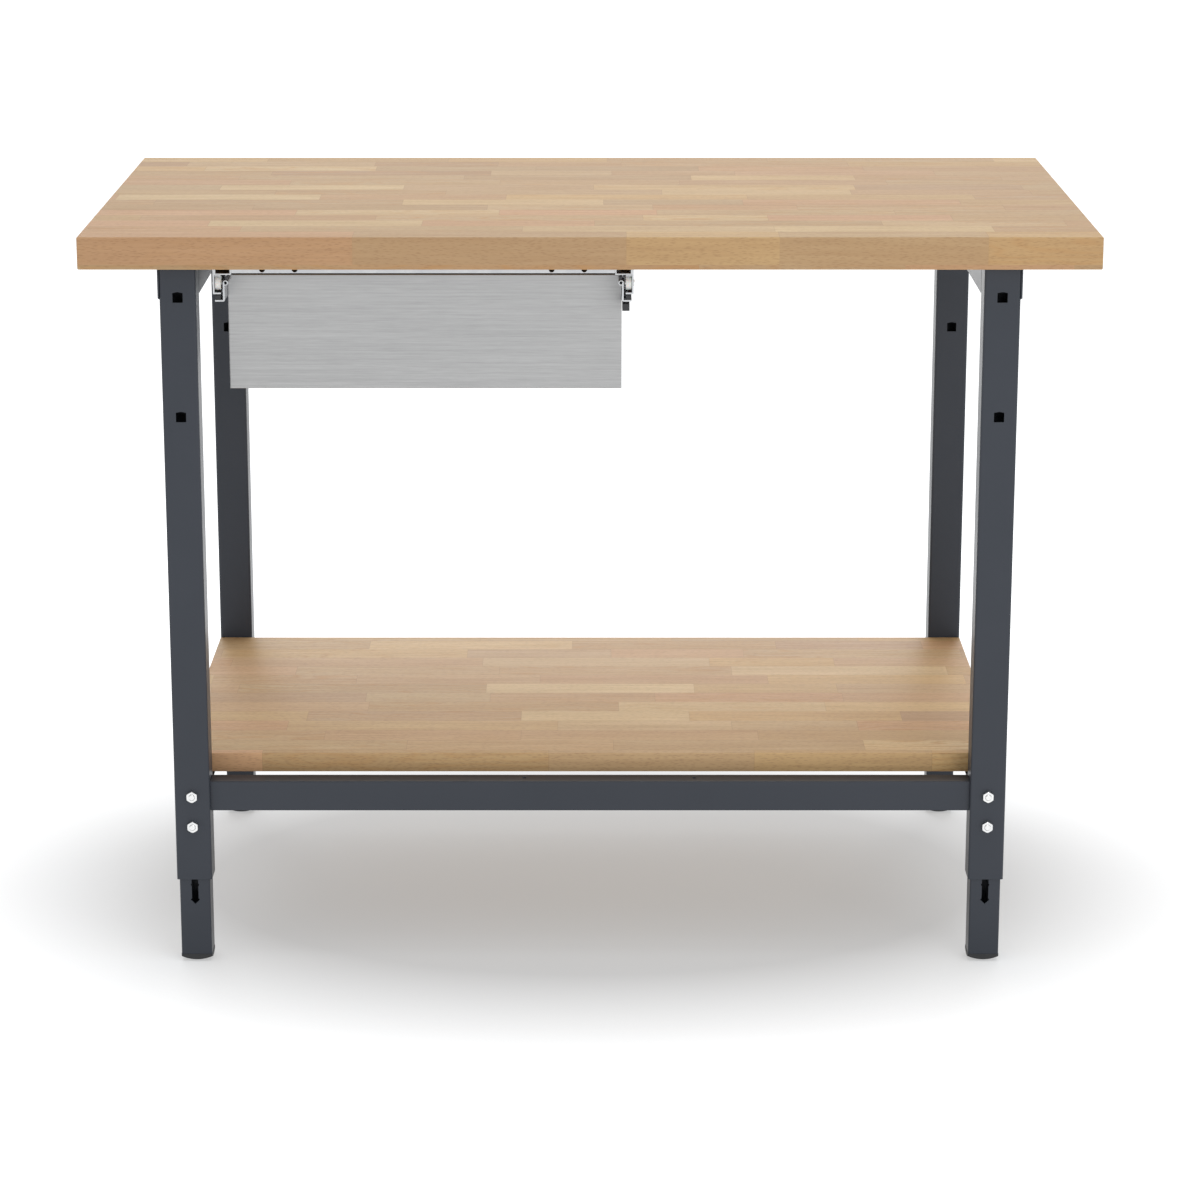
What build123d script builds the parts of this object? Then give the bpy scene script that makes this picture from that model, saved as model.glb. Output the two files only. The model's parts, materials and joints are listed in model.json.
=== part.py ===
from build123d import *
import os
from math import sqrt

os.makedirs("parts", exist_ok=True)

# Height-adjustable workbench with a solid beech top, a beech shelf and one steel drawer.
# Millimetres.  X runs along the bench, -Y is the side the drawer opens to, +Z is up.
# The origin is on the floor under the middle of the worktop.

# ------------------------------------------------------------------ driving dimensions

# Worktop and shelf
top_width = 1250.0
top_depth = 700.0
top_thick = 40.0
bench_height = 945.0        # worktop surface above the floor, at the middle height setting
board_chamfer = 1.0
shelf_thick = 25.0
shelf_front_gap = 10.0      # from the front legs back to the shelf
shelf_rear_gap = 1.5        # from the shelf back to the rear legs

# End frames
side_overhang = 96.0        # worktop past the outer faces of the legs
end_overhang = 25.0         # worktop past the front and rear faces of the legs
leg_width = 45.0
leg_depth = 40.0
leg_wall = 1.5
leg_corner = 3.0
beam_sheet = 2.0
beam_bend = 1.5             # rounding of a fold
top_beam_height = 40.0
lower_beam_height = 39.0
lower_beam_width = 23.0
lower_beam_inset = 11.0     # from the legs' outer faces in to the lower beam's web
shelf_seat = 241.0          # height of the faces that the shelf rests on

# Cross rails
rail_setback = 8.0          # rail web behind the face of the leg
rail_flange = 28.5
rail_hole = 5.3
rail_hole_pitch = 217.0
rail_hole_offset = 24.5     # middle of the two holes, to the right of the bench's middle
rail_hole_depth = 15.5      # holes behind the rail's web face

# Height adjustment
height_travel = 100.0       # each way from the middle setting
height_step = 20.0
inner_width = 39.0
inner_depth = 36.0
inner_wall = 2.0
inner_corner = 2.5
slot_width = 8.5
notch_side = 8.4            # square notch, standing on its corner
side_slot_margin = 1.2      # slot in the inner leg's side, round the rail's rivet nut
clamp_low = 72.0            # lower clamping bolt above the end of the upper leg
clamp_pitch = 40.0
inner_end_margin = 21.0     # inner leg above its highest notch

# Feet
foot_height = 10.0
foot_proud = 0.4
foot_radius = 50.0          # dome radius
foot_flat = 8.0             # radius of the flat in the middle of the dome
foot_insert = 24.0
foot_insert_corner = 2.0
foot_wall = 3.0

# House-shaped slots for accessories
house_width = 12.7
house_height = 12.0
house_peak = 1.2
house_drop = 39.0           # upper slot's middle below the worktop
house_pitch = 150.0

# Drawer
drawer_side_gap = 21.65     # from the left legs to the slide
drawer_width = 487.3
drawer_depth = 444.0
drawer_sheet = 1.0
drawer_body_drop = 19.0     # top edge of the tray below the worktop
drawer_body_height = 126.0
drawer_hem = 7.0            # edge of the sheet folded down flat inside the walls
tray_bend = 0.9
panel_sheet = 1.2
panel_drop = 15.8           # top edge of the front panel below the worktop
panel_height = 143.5
panel_setback = 60.0        # panel face behind the worktop's front edge
panel_return = 16.0
panel_hem = 14.0
panel_bend = 1.0

# Drawer slides
slide_setback = 20.0        # front ends behind the worktop's front edge
runner_length = 495.0
drawer_travel = 375.0
slide_side = 14.3           # from the tray's side out to the far face of the fixed rail
slide_sheet = 2.0
runner_height = 32.8
runner_flange_sheet = 1.5
runner_notch = 30.0         # front stretch where the runner's top is cut down and curled
runner_notch_drop = 9.5
runner_bend = 1.9
curl_radius = 3.2
curl_sheet = 1.2
curl_drop = 0.2             # curl's centre below the end of the web
roller_diameter = 18.6
roller_width = 7.4
roller_edge = 0.8
roller_rim = 2.5
roller_hub = 2.0
roller_dish = 1.2
roller_float = 0.2          # between a roller and the heads beside it
axle_diameter = 5.0
axle_head = 8.0
axle_head_height = 0.8
rear_roller_gap = 1.5       # between the runner's web and its roller
roller_front_margin = 10.5  # front roller's axle behind the end of the rail
roller_rear_margin = 15.0   # rear roller's axle ahead of the end of the runner
lip_thick = 2.0
lip_width = 7.8
lug_height = 4.0            # opening stop on the lip
buffer_thick = 6.0
buffer_diameter = 7.4
buffer_edge = 1.5
buffer_margin = 2.0         # rear tab above the buffer
glide_length = 25.0
glide_setback = 1.0
glide_chamfer = 1.5
lip_above_flange = 9.2      # underside of the rail's lip above the underside of the runner
hanger_width = 20.6
hanger_height = 9.5
hanger_sheet = 1.5
tie_height = 7.8
tie_setback = 2.0           # tie strip behind the ends of the hangers
tie_holes = (157.4, 197.4)  # each side of the drawer's middle
tie_hole = 7.0
tie_hole_drop = 3.3
tie_tab = 15.0
tie_rivet_reach = 9.0       # rivet behind the strip
hanger_tail = 5.0           # hanger past the end of the closed runner

# Catch lever under the right-hand runner
catch_offset = 0.3          # from the tray's side out to the lever
catch_width = 9.0
catch_height = 11.2
catch_length = 50.0
catch_pivot = 18.0          # pin behind the lever's front end
catch_pin_diameter = 3.0
catch_pin_drop = 5.0        # pin below the runner
catch_pin_inset = 0.3
catch_relief = 2.8          # finger pad below the lever's top, which leaves room to press it
catch_relief_margin = 1.0
catch_boss = 6.0            # full height kept behind the pin
catch_arm = 5.0
catch_nose_margin = 6.0     # nose ahead of the lever's back end
catch_nose_width = 3.6
catch_nose_length = 4.5
catch_nose_gap = 0.5
catch_window = 11.0
catch_window_margin = 0.7
catch_ear = 1.4
catch_ear_length = 8.0
catch_ear_drop = 3.5
catch_fork_gap = 0.3
catch_fork_length = 11.0

# Fasteners
m8 = 8.0
m8_hole = 9.0
m8_nut_flats = 13.0
m8_nut_height = 6.5
m8_head_height = 5.3
rivet_nut_barrel = 11.0
rivet_nut_bulge = 12.6
rivet_nut_length = 10.0
m8_end = 0.8                # chamfer on a bolt's end
m8_nut_chamfer = 0.7
rivet_nut_bulge_length = 2.0
cup_head = 19.0
cup_head_height = 4.6
cup_head_rim = 1.0
bolt_proud = 1.6            # bolt end past its nut
top_screw = 6.0
top_screw_length = 30.0
top_screw_flats = 10.0
top_screw_head = 4.0
top_screw_margin = 60.0     # first screw from the end of the beam
shelf_screw = 5.0
shelf_screw_length = 20.0
shelf_screw_head = 9.0
shelf_screw_head_height = 3.0
shelf_screw_dome = 2.0
shelf_screw_access = 12.0
shelf_screw_margin = 50.0
hanger_screw = 4.0
hanger_screw_length = 30.0
hanger_screw_head = 7.0
hanger_screw_head_height = 2.4
hanger_screw_dome = 1.6
hanger_screw_margin = 50.0
spacer_diameter = 5.6
rivet = 4.0
rivet_head = 7.0
rivet_head_height = 1.0
rail_rivet_margin = 30.0
runner_rivet_drop = 12.0    # below the tray's top edge
runner_rivet_margins = (25.0, 40.0)
panel_screw_head = 7.5
panel_screw_head_height = 2.2
panel_screw_dome = 1.4
panel_screw_length = 9.0
panel_screw_margin = 22.0   # from the tray's top and bottom
screw_play = 1.0            # clearance hole over a screw

# Clearances
thread_gap = 0.05           # radial, round a thread or a plain shaft in its hole
roll_gap = 0.1              # under or over a roller that carries a rail
free_gap = 0.4              # between pieces that pass each other
stop_gap = 0.5              # at a stop, with the joint at its limit
collar_gap = 2.0            # upper leg above the foot, at the lowest setting
over = 1.0                  # how far a cut runs past the face it starts from
pick = 0.1                  # tolerance when an edge is picked by its place

# ------------------------------------------------------------------ derived places

underside = bench_height - top_thick
front_edge = -top_depth / 2
leg_outer = top_width / 2 - side_overhang
leg_inner = leg_outer - leg_width
leg_x = leg_outer - leg_width / 2
leg_face = top_depth / 2 - end_overhang
leg_back = leg_face - leg_depth
leg_y = leg_face - leg_depth / 2
leg_top = underside - beam_sheet
leg_bottom = foot_height + height_travel + collar_gap

clamp_z = (leg_bottom + clamp_low, leg_bottom + clamp_low + clamp_pitch)
notch_low = clamp_z[0] - height_travel
notch_high = clamp_z[1] + height_travel
notch_count = round((notch_high - notch_low) / height_step) + 1
inner_top = notch_high + inner_end_margin
side_slot_half = rivet_nut_bulge / 2 + side_slot_margin

beam_web = leg_outer - lower_beam_inset
beam_bottom = shelf_seat - lower_beam_height
rail_face = leg_face - rail_setback
rail_back = rail_face - rail_flange
rail_bolt_y = (rail_face + rail_back) / 2
rail_bolt_z = shelf_seat - lower_beam_height / 2

half_tray = drawer_width / 2
slide_outer = half_tray + slide_side
drawer_x = -leg_inner + drawer_side_gap + slide_outer
slide_front = front_edge + slide_setback
runner_back = slide_front + runner_length
hanger_bottom = underside - hanger_height
runner_top = hanger_bottom - free_gap
runner_bottom = runner_top - runner_height
lip_bottom = runner_bottom + lip_above_flange
lip_top = lip_bottom + lip_thick
rail_web_inner = slide_outer - slide_sheet
hanger_outer = rail_web_inner
hanger_inner = hanger_outer - hanger_width
front_axle_y = slide_front + roller_front_margin
front_axle_z = runner_top - runner_flange_sheet - roll_gap - roller_diameter / 2
rear_axle_y = runner_back - roller_rear_margin
rear_axle_z = lip_top + roll_gap + roller_diameter / 2
runner_web_outer = half_tray + slide_sheet
flange_reach = rail_web_inner - free_gap

panel_face = front_edge + panel_setback
tray_front = panel_face + panel_return
tray_back = tray_front + drawer_depth
tray_top = underside - drawer_body_drop
tray_bottom = tray_top - drawer_body_height
panel_top = underside - panel_drop
panel_bottom = panel_top - panel_height

# ------------------------------------------------------------------ shared helpers


def block(x0, x1, y0, y1, z0, z1):
    """Box between two corners given in any order."""
    middle = Pos((x0 + x1) / 2, (y0 + y1) / 2, (z0 + z1) / 2)
    return middle * Box(abs(x1 - x0), abs(y1 - y0), abs(z1 - z0))


def rod(axis, start, end, a, b, diameter):
    """Cylinder along X, Y or Z from start to end; a and b are its other two coordinates."""
    length = abs(end - start)
    middle = (start + end) / 2
    if axis == "x":
        return Pos(middle, a, b) * Rot(0, 90, 0) * Cylinder(diameter / 2, length)
    if axis == "y":
        return Pos(a, middle, b) * Rot(90, 0, 0) * Cylinder(diameter / 2, length)
    return Pos(a, b, middle) * Cylinder(diameter / 2, length)


def hexagon(axis, start, end, a, b, flats):
    """Hexagonal prism placed as rod() places a cylinder."""
    prism = extrude(RegularPolygon(flats / 2, 6, major_radius=False), amount=abs(end - start) / 2, both=True)
    middle = (start + end) / 2
    if axis == "x":
        return Pos(middle, a, b) * Rot(0, 90, 0) * prism
    if axis == "y":
        return Pos(a, middle, b) * Rot(90, 0, 0) * Rot(0, 0, 30) * prism
    return Pos(a, b, middle) * prism


def tube(width, depth, wall, corner, x, y, z0, z1):
    """Upright rectangular tube."""
    outline = RectangleRounded(width, depth, corner)
    bore = RectangleRounded(width - 2 * wall, depth - 2 * wall, corner - wall)
    return Pos(x, y, z0) * extrude(outline - bore, amount=z1 - z0)


def spread(count, first, last):
    """Evenly spaced places from first to last."""
    return [first + (last - first) * i / (count - 1) for i in range(count)]


def group(solids):
    """Identical small pieces kept as separate solids in one node."""
    return Compound(children=solids)


def rounded(solid, axis, radius, choose):
    """Round the edges parallel to an axis whose centre passes the test."""
    edges = [e for e in solid.edges().filter_by(axis) if choose(e.center())]
    return fillet(edges, radius)


# ------------------------------------------------------------------ fastener places

top_screw_x = (leg_inner + beam_sheet + leg_outer) / 2
top_screw_y = spread(4, top_screw_margin - leg_back, leg_back - top_screw_margin)
shelf_screw_x = beam_web - lower_beam_width / 2
shelf_screw_y = spread(3, shelf_screw_margin - leg_back, leg_back - shelf_screw_margin)
hanger_screw_u = half_tray - hanger_screw_head / 2 - free_gap
hanger_back = runner_back + hanger_tail
hanger_screw_y = spread(3, slide_front + hanger_screw_margin, hanger_back - hanger_screw_margin)
rail_rivet_y = spread(3, slide_front + rail_rivet_margin, hanger_back - rail_rivet_margin)
rail_rivet_z = underside - hanger_height / 2 + hanger_sheet / 2
runner_rivet_y = spread(4, tray_front + runner_rivet_margins[0], rear_axle_y - runner_rivet_margins[1])
runner_rivet_z = tray_top - runner_rivet_drop
panel_screw_u = half_tray - panel_sheet - panel_hem / 2
panel_screw_z = (tray_top - panel_screw_margin, tray_bottom + panel_screw_margin)
front_roller_u = rail_web_inner - free_gap - roller_width
rear_roller_u = runner_web_outer + rear_roller_gap

# ------------------------------------------------------------------ boards


def worktop():
    half = top_width / 2
    board = block(-half, half, front_edge, -front_edge, underside, bench_height)
    board = chamfer(board.edges(), board_chamfer)
    pilot = top_screw + 2 * thread_gap
    for side in (-1, 1):
        for y in top_screw_y:
            tip = leg_top + top_screw_length + stop_gap
            board -= rod("z", underside, tip, side * top_screw_x, y, pilot)
        for y in hanger_screw_y:
            tip = hanger_bottom + hanger_screw_length + stop_gap
            x = drawer_x + side * hanger_screw_u
            board -= rod("z", underside, tip, x, y, hanger_screw + 2 * thread_gap)
    return board


def shelf():
    front = -leg_back + shelf_front_gap
    back = leg_back - shelf_rear_gap
    board = block(-leg_outer, leg_outer, front, back, shelf_seat, shelf_seat + shelf_thick)
    board = chamfer(board.edges(), board_chamfer)
    for side in (-1, 1):
        for y in shelf_screw_y:
            tip = shelf_seat - beam_sheet + shelf_screw_length + stop_gap
            board -= rod("z", shelf_seat, tip, side * shelf_screw_x, y, shelf_screw + 2 * thread_gap)
    return board


# ------------------------------------------------------------------ end frames


def house_cut(x, y, z):
    """Slot with a low gabled top, cut through a wall that faces the Y axis."""
    half = house_width / 2
    base = -house_height / 2
    eaves = house_height / 2
    peak = (0, eaves + house_peak)
    outline = Polyline((-half, base), (half, base), (half, eaves), peak, (-half, eaves), close=True)
    prism = extrude(make_face(outline), amount=leg_wall, both=True)
    return Pos(x, y, z) * Rot(90, 0, 0) * prism


def upper_leg(side, end):
    """end is -1 for a front leg and 1 for a rear leg."""
    x = side * leg_x
    leg = tube(leg_width, leg_depth, leg_wall, leg_corner, x, end * leg_y, leg_bottom, leg_top)
    front_wall = end * leg_y - leg_depth / 2 + leg_wall / 2
    for z in (underside - house_drop, underside - house_drop - house_pitch):
        leg -= house_cut(x, front_wall, z)
    for z in clamp_z:
        leg -= rod("y", end * (leg_face - leg_wall - over), end * (leg_face + over), x, z, m8_hole)
    bore = rivet_nut_barrel + 2 * thread_gap
    start = side * (leg_inner - over)
    stop = side * (leg_inner + leg_wall + over)
    return leg - rod("x", start, stop, end * rail_bolt_y, rail_bolt_z, bore)


def top_beam(side):
    """Inverted channel over the two legs; its inner side fits between them."""
    outer = leg_outer + beam_sheet
    low = underside - top_beam_height
    beam = block(side * leg_inner, side * outer, -leg_face, leg_face, leg_top, underside)
    beam += block(side * leg_outer, side * outer, -leg_face, leg_face, low, leg_top)
    beam += block(side * leg_inner, side * (leg_inner + beam_sheet), -leg_back, leg_back, low, leg_top)
    beam = rounded(beam, Axis.Y, beam_bend, lambda c: abs(c.X) > outer - pick and c.Z > underside - pick)
    for y in top_screw_y:
        beam -= rod("z", leg_top - over, underside + over, side * top_screw_x, y, top_screw + screw_play)
    return beam


def lower_beam(side):
    """Channel between the legs; the shelf rests on its upper flange."""
    inner = beam_web - lower_beam_width
    beam = block(side * inner, side * beam_web, -leg_back, leg_back, beam_bottom, shelf_seat)
    hollow_top = shelf_seat - beam_sheet
    hollow_low = beam_bottom + beam_sheet
    web_inner = beam_web - beam_sheet
    end_y = leg_back + over
    beam -= block(side * (inner - over), side * web_inner, -end_y, end_y, hollow_low, hollow_top)
    beam = rounded(beam, Axis.Y, beam_bend, lambda c: abs(c.X) > beam_web - pick)
    x = side * shelf_screw_x
    for y in shelf_screw_y:
        beam -= rod("z", hollow_top - over, shelf_seat + over, x, y, shelf_screw + screw_play)
        beam -= rod("z", beam_bottom - over, hollow_low + over, x, y, shelf_screw_access)
    return beam


def cross_rail(end):
    """Channel that opens to the inside of the bench, closed by a bolting plate at each end."""
    low = beam_bottom
    rail = block(-leg_inner, leg_inner, end * rail_back, end * rail_face, low, shelf_seat)
    cavity_x = leg_inner - beam_sheet
    cavity_y = end * (rail_face - beam_sheet)
    flange = shelf_seat - beam_sheet
    rail -= block(-cavity_x, cavity_x, end * (rail_back - over), cavity_y, low + beam_sheet, flange)
    rail = rounded(rail, Axis.X, beam_bend, lambda c: abs(c.Y) > rail_face - pick)
    for side in (-1, 1):
        start = side * (cavity_x - over)
        stop = side * (leg_inner + over)
        rail -= rod("x", start, stop, end * rail_bolt_y, rail_bolt_z, m8_hole)
        hole_x = rail_hole_offset + side * rail_hole_pitch / 2
        hole_y = end * (rail_face - rail_hole_depth)
        rail -= rod("z", flange - over, shelf_seat + over, hole_x, hole_y, rail_hole)
    return rail


# ------------------------------------------------------------------ frame fasteners


def top_screws():
    screws = []
    for side in (-1, 1):
        for y in top_screw_y:
            x = side * top_screw_x
            head = hexagon("z", leg_top - top_screw_head, leg_top, x, y, top_screw_flats)
            shank = rod("z", leg_top, leg_top + top_screw_length, x, y, top_screw)
            screws.append(head + shank)
    return group(screws)


def shelf_screws():
    flange = shelf_seat - beam_sheet
    screws = []
    for side in (-1, 1):
        for y in shelf_screw_y:
            x = side * shelf_screw_x
            head = rod("z", flange - shelf_screw_head_height, flange, x, y, shelf_screw_head)
            head = fillet(head.edges().sort_by(Axis.Z)[0], shelf_screw_dome)
            shank = rod("z", flange, flange + shelf_screw_length, x, y, shelf_screw)
            screws.append(head + shank)
    return group(screws)


def clamp_bolts():
    """Cup-head bolts put in from inside the inner legs, with their shanks in the notched slots."""
    bolts = []
    seat = leg_y + inner_depth / 2 - inner_wall - free_gap
    tip = leg_face + m8_nut_height + bolt_proud
    for side in (-1, 1):
        for end in (-1, 1):
            for z in clamp_z:
                x = side * leg_x
                head = rod("y", end * (seat - cup_head_height), end * seat, x, z, cup_head)
                rims = head.edges().sort_by(Axis.Y)
                head = fillet(rims[-1] if end < 0 else rims[0], cup_head_height - cup_head_rim)
                shank = rod("y", end * seat, end * tip, x, z, m8)
                rims = shank.edges().sort_by(Axis.Y)
                shank = chamfer(rims[0] if end < 0 else rims[-1], m8_end)
                bolts.append(head + shank)
    return group(bolts)


def clamp_nuts():
    nuts = []
    corners = m8_nut_flats * 2 / sqrt(3)
    for side in (-1, 1):
        for end in (-1, 1):
            for z in clamp_z:
                x = side * leg_x
                start = end * leg_face
                stop = end * (leg_face + m8_nut_height)
                nut = hexagon("y", start, stop, x, z, m8_nut_flats)
                nut &= chamfer(rod("y", start, stop, x, z, corners).edges(), m8_nut_chamfer)
                nuts.append(nut - rod("y", start - end, stop + end, x, z, m8 + 2 * thread_gap))
    return group(nuts)


def rail_bolts():
    bolts = []
    seat = leg_inner - beam_sheet
    tip = leg_inner + rivet_nut_length - over
    for side in (-1, 1):
        for end in (-1, 1):
            y = end * rail_bolt_y
            head = hexagon("x", side * (seat - m8_head_height), side * seat, y, rail_bolt_z, m8_nut_flats)
            bolts.append(head + rod("x", side * seat, side * tip, y, rail_bolt_z, m8))
    return group(bolts)


def rail_rivet_nuts():
    nuts = []
    z = rail_bolt_z
    wall_inside = leg_inner + leg_wall
    tip = leg_inner + rivet_nut_length
    for side in (-1, 1):
        for end in (-1, 1):
            y = end * rail_bolt_y
            nut = rod("x", side * leg_inner, side * tip, y, z, rivet_nut_barrel)
            bulge_end = wall_inside + rivet_nut_bulge_length
            nut += rod("x", side * wall_inside, side * bulge_end, y, z, rivet_nut_bulge)
            start = side * (leg_inner - over)
            nuts.append(nut - rod("x", start, side * (tip + over), y, z, m8 + 2 * thread_gap))
    return group(nuts)


# ------------------------------------------------------------------ inner legs and feet


def inner_leg(side, end):
    """Tube with a notched slot for the clamping bolts and a side slot past the rail's nut."""
    x = side * leg_x
    y = end * leg_y
    leg = tube(inner_width, inner_depth, inner_wall, inner_corner, x, y, foot_height, inner_top)
    wall_y = y + end * (inner_depth / 2 - inner_wall / 2)
    half = slot_width / 2
    leg -= block(x - half, x + half, wall_y - inner_wall, wall_y + inner_wall, notch_low, notch_high)
    notch = Box(notch_side, 2 * inner_wall, notch_side)
    for i in range(notch_count):
        leg -= Pos(x, wall_y, notch_low + i * height_step) * Rot(0, 45, 0) * notch
    low = rail_bolt_z - height_travel - side_slot_half
    side_x = leg_x - inner_width / 2
    slot_y = end * rail_bolt_y
    slot_x0 = side * (side_x - over)
    slot_x1 = side * (side_x + inner_wall + over)
    leg -= block(slot_x0, slot_x1, slot_y - side_slot_half, slot_y + side_slot_half, low, inner_top + over)
    return leg


def foot(side, end):
    """Plastic plug: hollow insert, collar and a domed sole with a flat in its middle."""
    collar_w = inner_width + 2 * foot_proud
    collar_d = inner_depth + 2 * foot_proud
    collar = extrude(RectangleRounded(collar_w, collar_d, inner_corner), amount=foot_height)
    centre_z = sqrt(foot_radius**2 - foot_flat**2)
    collar &= Pos(0, 0, centre_z) * Sphere(foot_radius)
    insert_w = inner_width - 2 * inner_wall - 2 * thread_gap
    insert_d = inner_depth - 2 * inner_wall - 2 * thread_gap
    insert = extrude(RectangleRounded(insert_w, insert_d, foot_insert_corner), amount=foot_insert)
    insert -= extrude(Rectangle(insert_w - 2 * foot_wall, insert_d - 2 * foot_wall), amount=foot_insert)
    plug = collar + Pos(0, 0, foot_height) * insert
    return Pos(side * leg_x, end * leg_y, 0) * plug


# ------------------------------------------------------------------ slide hangers


def slide_hanger(side):
    """Channel, open upwards, that carries one fixed rail under the worktop."""
    inner = drawer_x + side * hanger_inner
    outer = drawer_x + side * hanger_outer
    wall = side * hanger_sheet
    floor = hanger_bottom + hanger_sheet
    bore = rivet + 2 * thread_gap
    ends = (slide_front - over, hanger_back + over)
    channel = block(inner, outer, slide_front, hanger_back, hanger_bottom, underside)
    channel -= block(inner + wall, outer - wall, *ends, floor, underside + over)
    for y in hanger_screw_y:
        x = drawer_x + side * hanger_screw_u
        channel -= rod("z", hanger_bottom - over, floor + over, x, y, hanger_screw + screw_play)
    for y in rail_rivet_y:
        channel -= rod("x", outer - 2 * wall, outer + wall, y, rail_rivet_z, bore)
    for end in (-1, 1):
        channel -= rod("x", inner - wall, inner + 2 * wall, tie_rivet_place(end), rail_rivet_z, bore)
    return channel


def tie_place(end):
    """Middle of a tie strip's thickness, front or rear."""
    if end < 0:
        return slide_front + tie_setback + hanger_sheet / 2
    return hanger_back - tie_setback - hanger_sheet / 2


def tie_rivet_place(end):
    return tie_place(end) - end * tie_rivet_reach


def tie_strip(end):
    """Strip across the two hangers, with a riveted tab bent back at each end."""
    y = tie_place(end)
    half = hanger_sheet / 2
    low = underside - tie_height
    high = underside - free_gap
    left = drawer_x - hanger_inner
    right = drawer_x + hanger_inner
    strip = block(left, right, y - half, y + half, low, high)
    for wall, inward in ((left, hanger_sheet), (right, -hanger_sheet)):
        strip += block(wall, wall + inward, y, y - end * tie_tab, low, high)
        start = wall - inward
        stop = wall + 2 * inward
        strip -= rod("x", start, stop, tie_rivet_place(end), rail_rivet_z, rivet + 2 * thread_gap)
    for u in tie_holes:
        for x in (drawer_x - u, drawer_x + u):
            strip -= rod("y", y - hanger_sheet, y + hanger_sheet, x, underside - tie_hole_drop, tie_hole)
    return strip


def rivet_along_x(x0, x1, y, z):
    """Rivet through the sheets between x0 and x1, with a low head on each side."""
    low = min(x0, x1)
    high = max(x0, x1)
    body = rod("x", low, high, y, z, rivet)
    body += rod("x", low - rivet_head_height, low, y, z, rivet_head)
    body += rod("x", high, high + rivet_head_height, y, z, rivet_head)
    return body


def tie_rivets():
    rivets = []
    for side in (-1, 1):
        for end in (-1, 1):
            wall = drawer_x + side * hanger_inner
            sheet = side * hanger_sheet
            rivets.append(rivet_along_x(wall - sheet, wall + sheet, tie_rivet_place(end), rail_rivet_z))
    return group(rivets)


def hanger_screws():
    screws = []
    for side in (-1, 1):
        for y in hanger_screw_y:
            x = drawer_x + side * hanger_screw_u
            low = hanger_bottom - hanger_screw_head_height
            head = rod("z", low, hanger_bottom, x, y, hanger_screw_head)
            head = fillet(head.edges().sort_by(Axis.Z)[0], hanger_screw_dome)
            shank = rod("z", hanger_bottom, hanger_bottom + hanger_screw_length, x, y, hanger_screw)
            screws.append(head + shank)
    return group(screws)


def hanger_spacers():
    """Sleeves that carry the screws' pull from the channel's floor to the worktop."""
    sleeves = []
    floor = hanger_bottom + hanger_sheet
    for side in (-1, 1):
        for y in hanger_screw_y:
            x = drawer_x + side * hanger_screw_u
            sleeve = rod("z", floor, underside, x, y, spacer_diameter)
            bore = hanger_screw + 2 * thread_gap
            sleeves.append(sleeve - rod("z", floor - over, underside + over, x, y, bore))
    return group(sleeves)


# ------------------------------------------------------------------ fixed rails


def rear_stop_face():
    """Face of the rear tab that carries the rubber buffer."""
    return rear_axle_y + roller_diameter / 2 + stop_gap + buffer_thick


def fixed_rail(side):
    """Web with an inward lip at its foot, an opening stop on the lip and a tab at the back."""
    inner = drawer_x + side * rail_web_inner
    outer = drawer_x + side * slide_outer
    lip_edge = inner - side * lip_width
    tab_y = rear_stop_face()
    back = tab_y + slide_sheet
    rail = block(inner, outer, slide_front, back, lip_bottom, underside - free_gap)
    rail += block(lip_edge, inner, slide_front, back, lip_bottom, lip_top)
    tab_top = rear_axle_z + buffer_diameter / 2 + buffer_margin
    rail += block(lip_edge, inner, tab_y, back, lip_top, tab_top)
    depth = roller_diameter / 2 + roll_gap - lug_height
    reach = sqrt((roller_diameter / 2) ** 2 - depth**2)
    lug_y = rear_axle_y - drawer_travel - reach - stop_gap
    rail += block(lip_edge, inner, lug_y - slide_sheet, lug_y, lip_top, lip_top + lug_height)
    cut_x = (inner - side * over, outer + side * over)
    rail -= rod("x", *cut_x, front_axle_y, front_axle_z, axle_diameter + 2 * thread_gap)
    for y in rail_rivet_y:
        rail -= rod("x", *cut_x, y, rail_rivet_z, rivet + 2 * thread_gap)
    return rail


def rail_rivets():
    rivets = []
    for side in (-1, 1):
        for y in rail_rivet_y:
            start = drawer_x + side * (hanger_outer - hanger_sheet)
            rivets.append(rivet_along_x(start, drawer_x + side * slide_outer, y, rail_rivet_z))
    return group(rivets)


def roller(side, u0, y, z):
    """Nylon wheel with a shallow dish in each face."""
    x0 = drawer_x + side * u0
    x1 = x0 + side * roller_width
    wheel = rod("x", x0, x1, y, z, roller_diameter)
    wheel = fillet(wheel.edges(), roller_edge)
    dish = roller_diameter - 2 * roller_rim
    hub = axle_diameter + 2 * roller_hub
    for face, inward in ((x0, side), (x1, -side)):
        start = face - inward * over
        floor = face + inward * roller_dish
        wheel -= rod("x", start, floor, y, z, dish) - rod("x", start, floor, y, z, hub)
    return wheel - rod("x", x0 - side * over, x1 + side * over, y, z, axle_diameter + 2 * thread_gap)


def front_roller(side):
    return roller(side, front_roller_u, front_axle_y, front_axle_z)


def rear_roller(side):
    return roller(side, rear_roller_u, rear_axle_y, rear_axle_z)


def pin_along_x(side, places, y, z):
    """Stepped pin from (start, end, diameter) places, measured outwards from the drawer's middle."""
    pin = None
    for start, stop, diameter in places:
        step = rod("x", drawer_x + side * start, drawer_x + side * stop, y, z, diameter)
        pin = step if pin is None else pin + step
    return pin


def front_axles():
    """Pins through the fixed rails, headed outside the rail and inside the roller."""
    head = front_roller_u - roller_float
    shaft = (head - axle_head_height, slide_outer, axle_diameter)
    inner_head = (head - axle_head_height, head, axle_head)
    outer_head = (slide_outer, slide_outer + rivet_head_height, axle_head)
    places = (shaft, inner_head, outer_head)
    return group([pin_along_x(side, places, front_axle_y, front_axle_z) for side in (-1, 1)])


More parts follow.
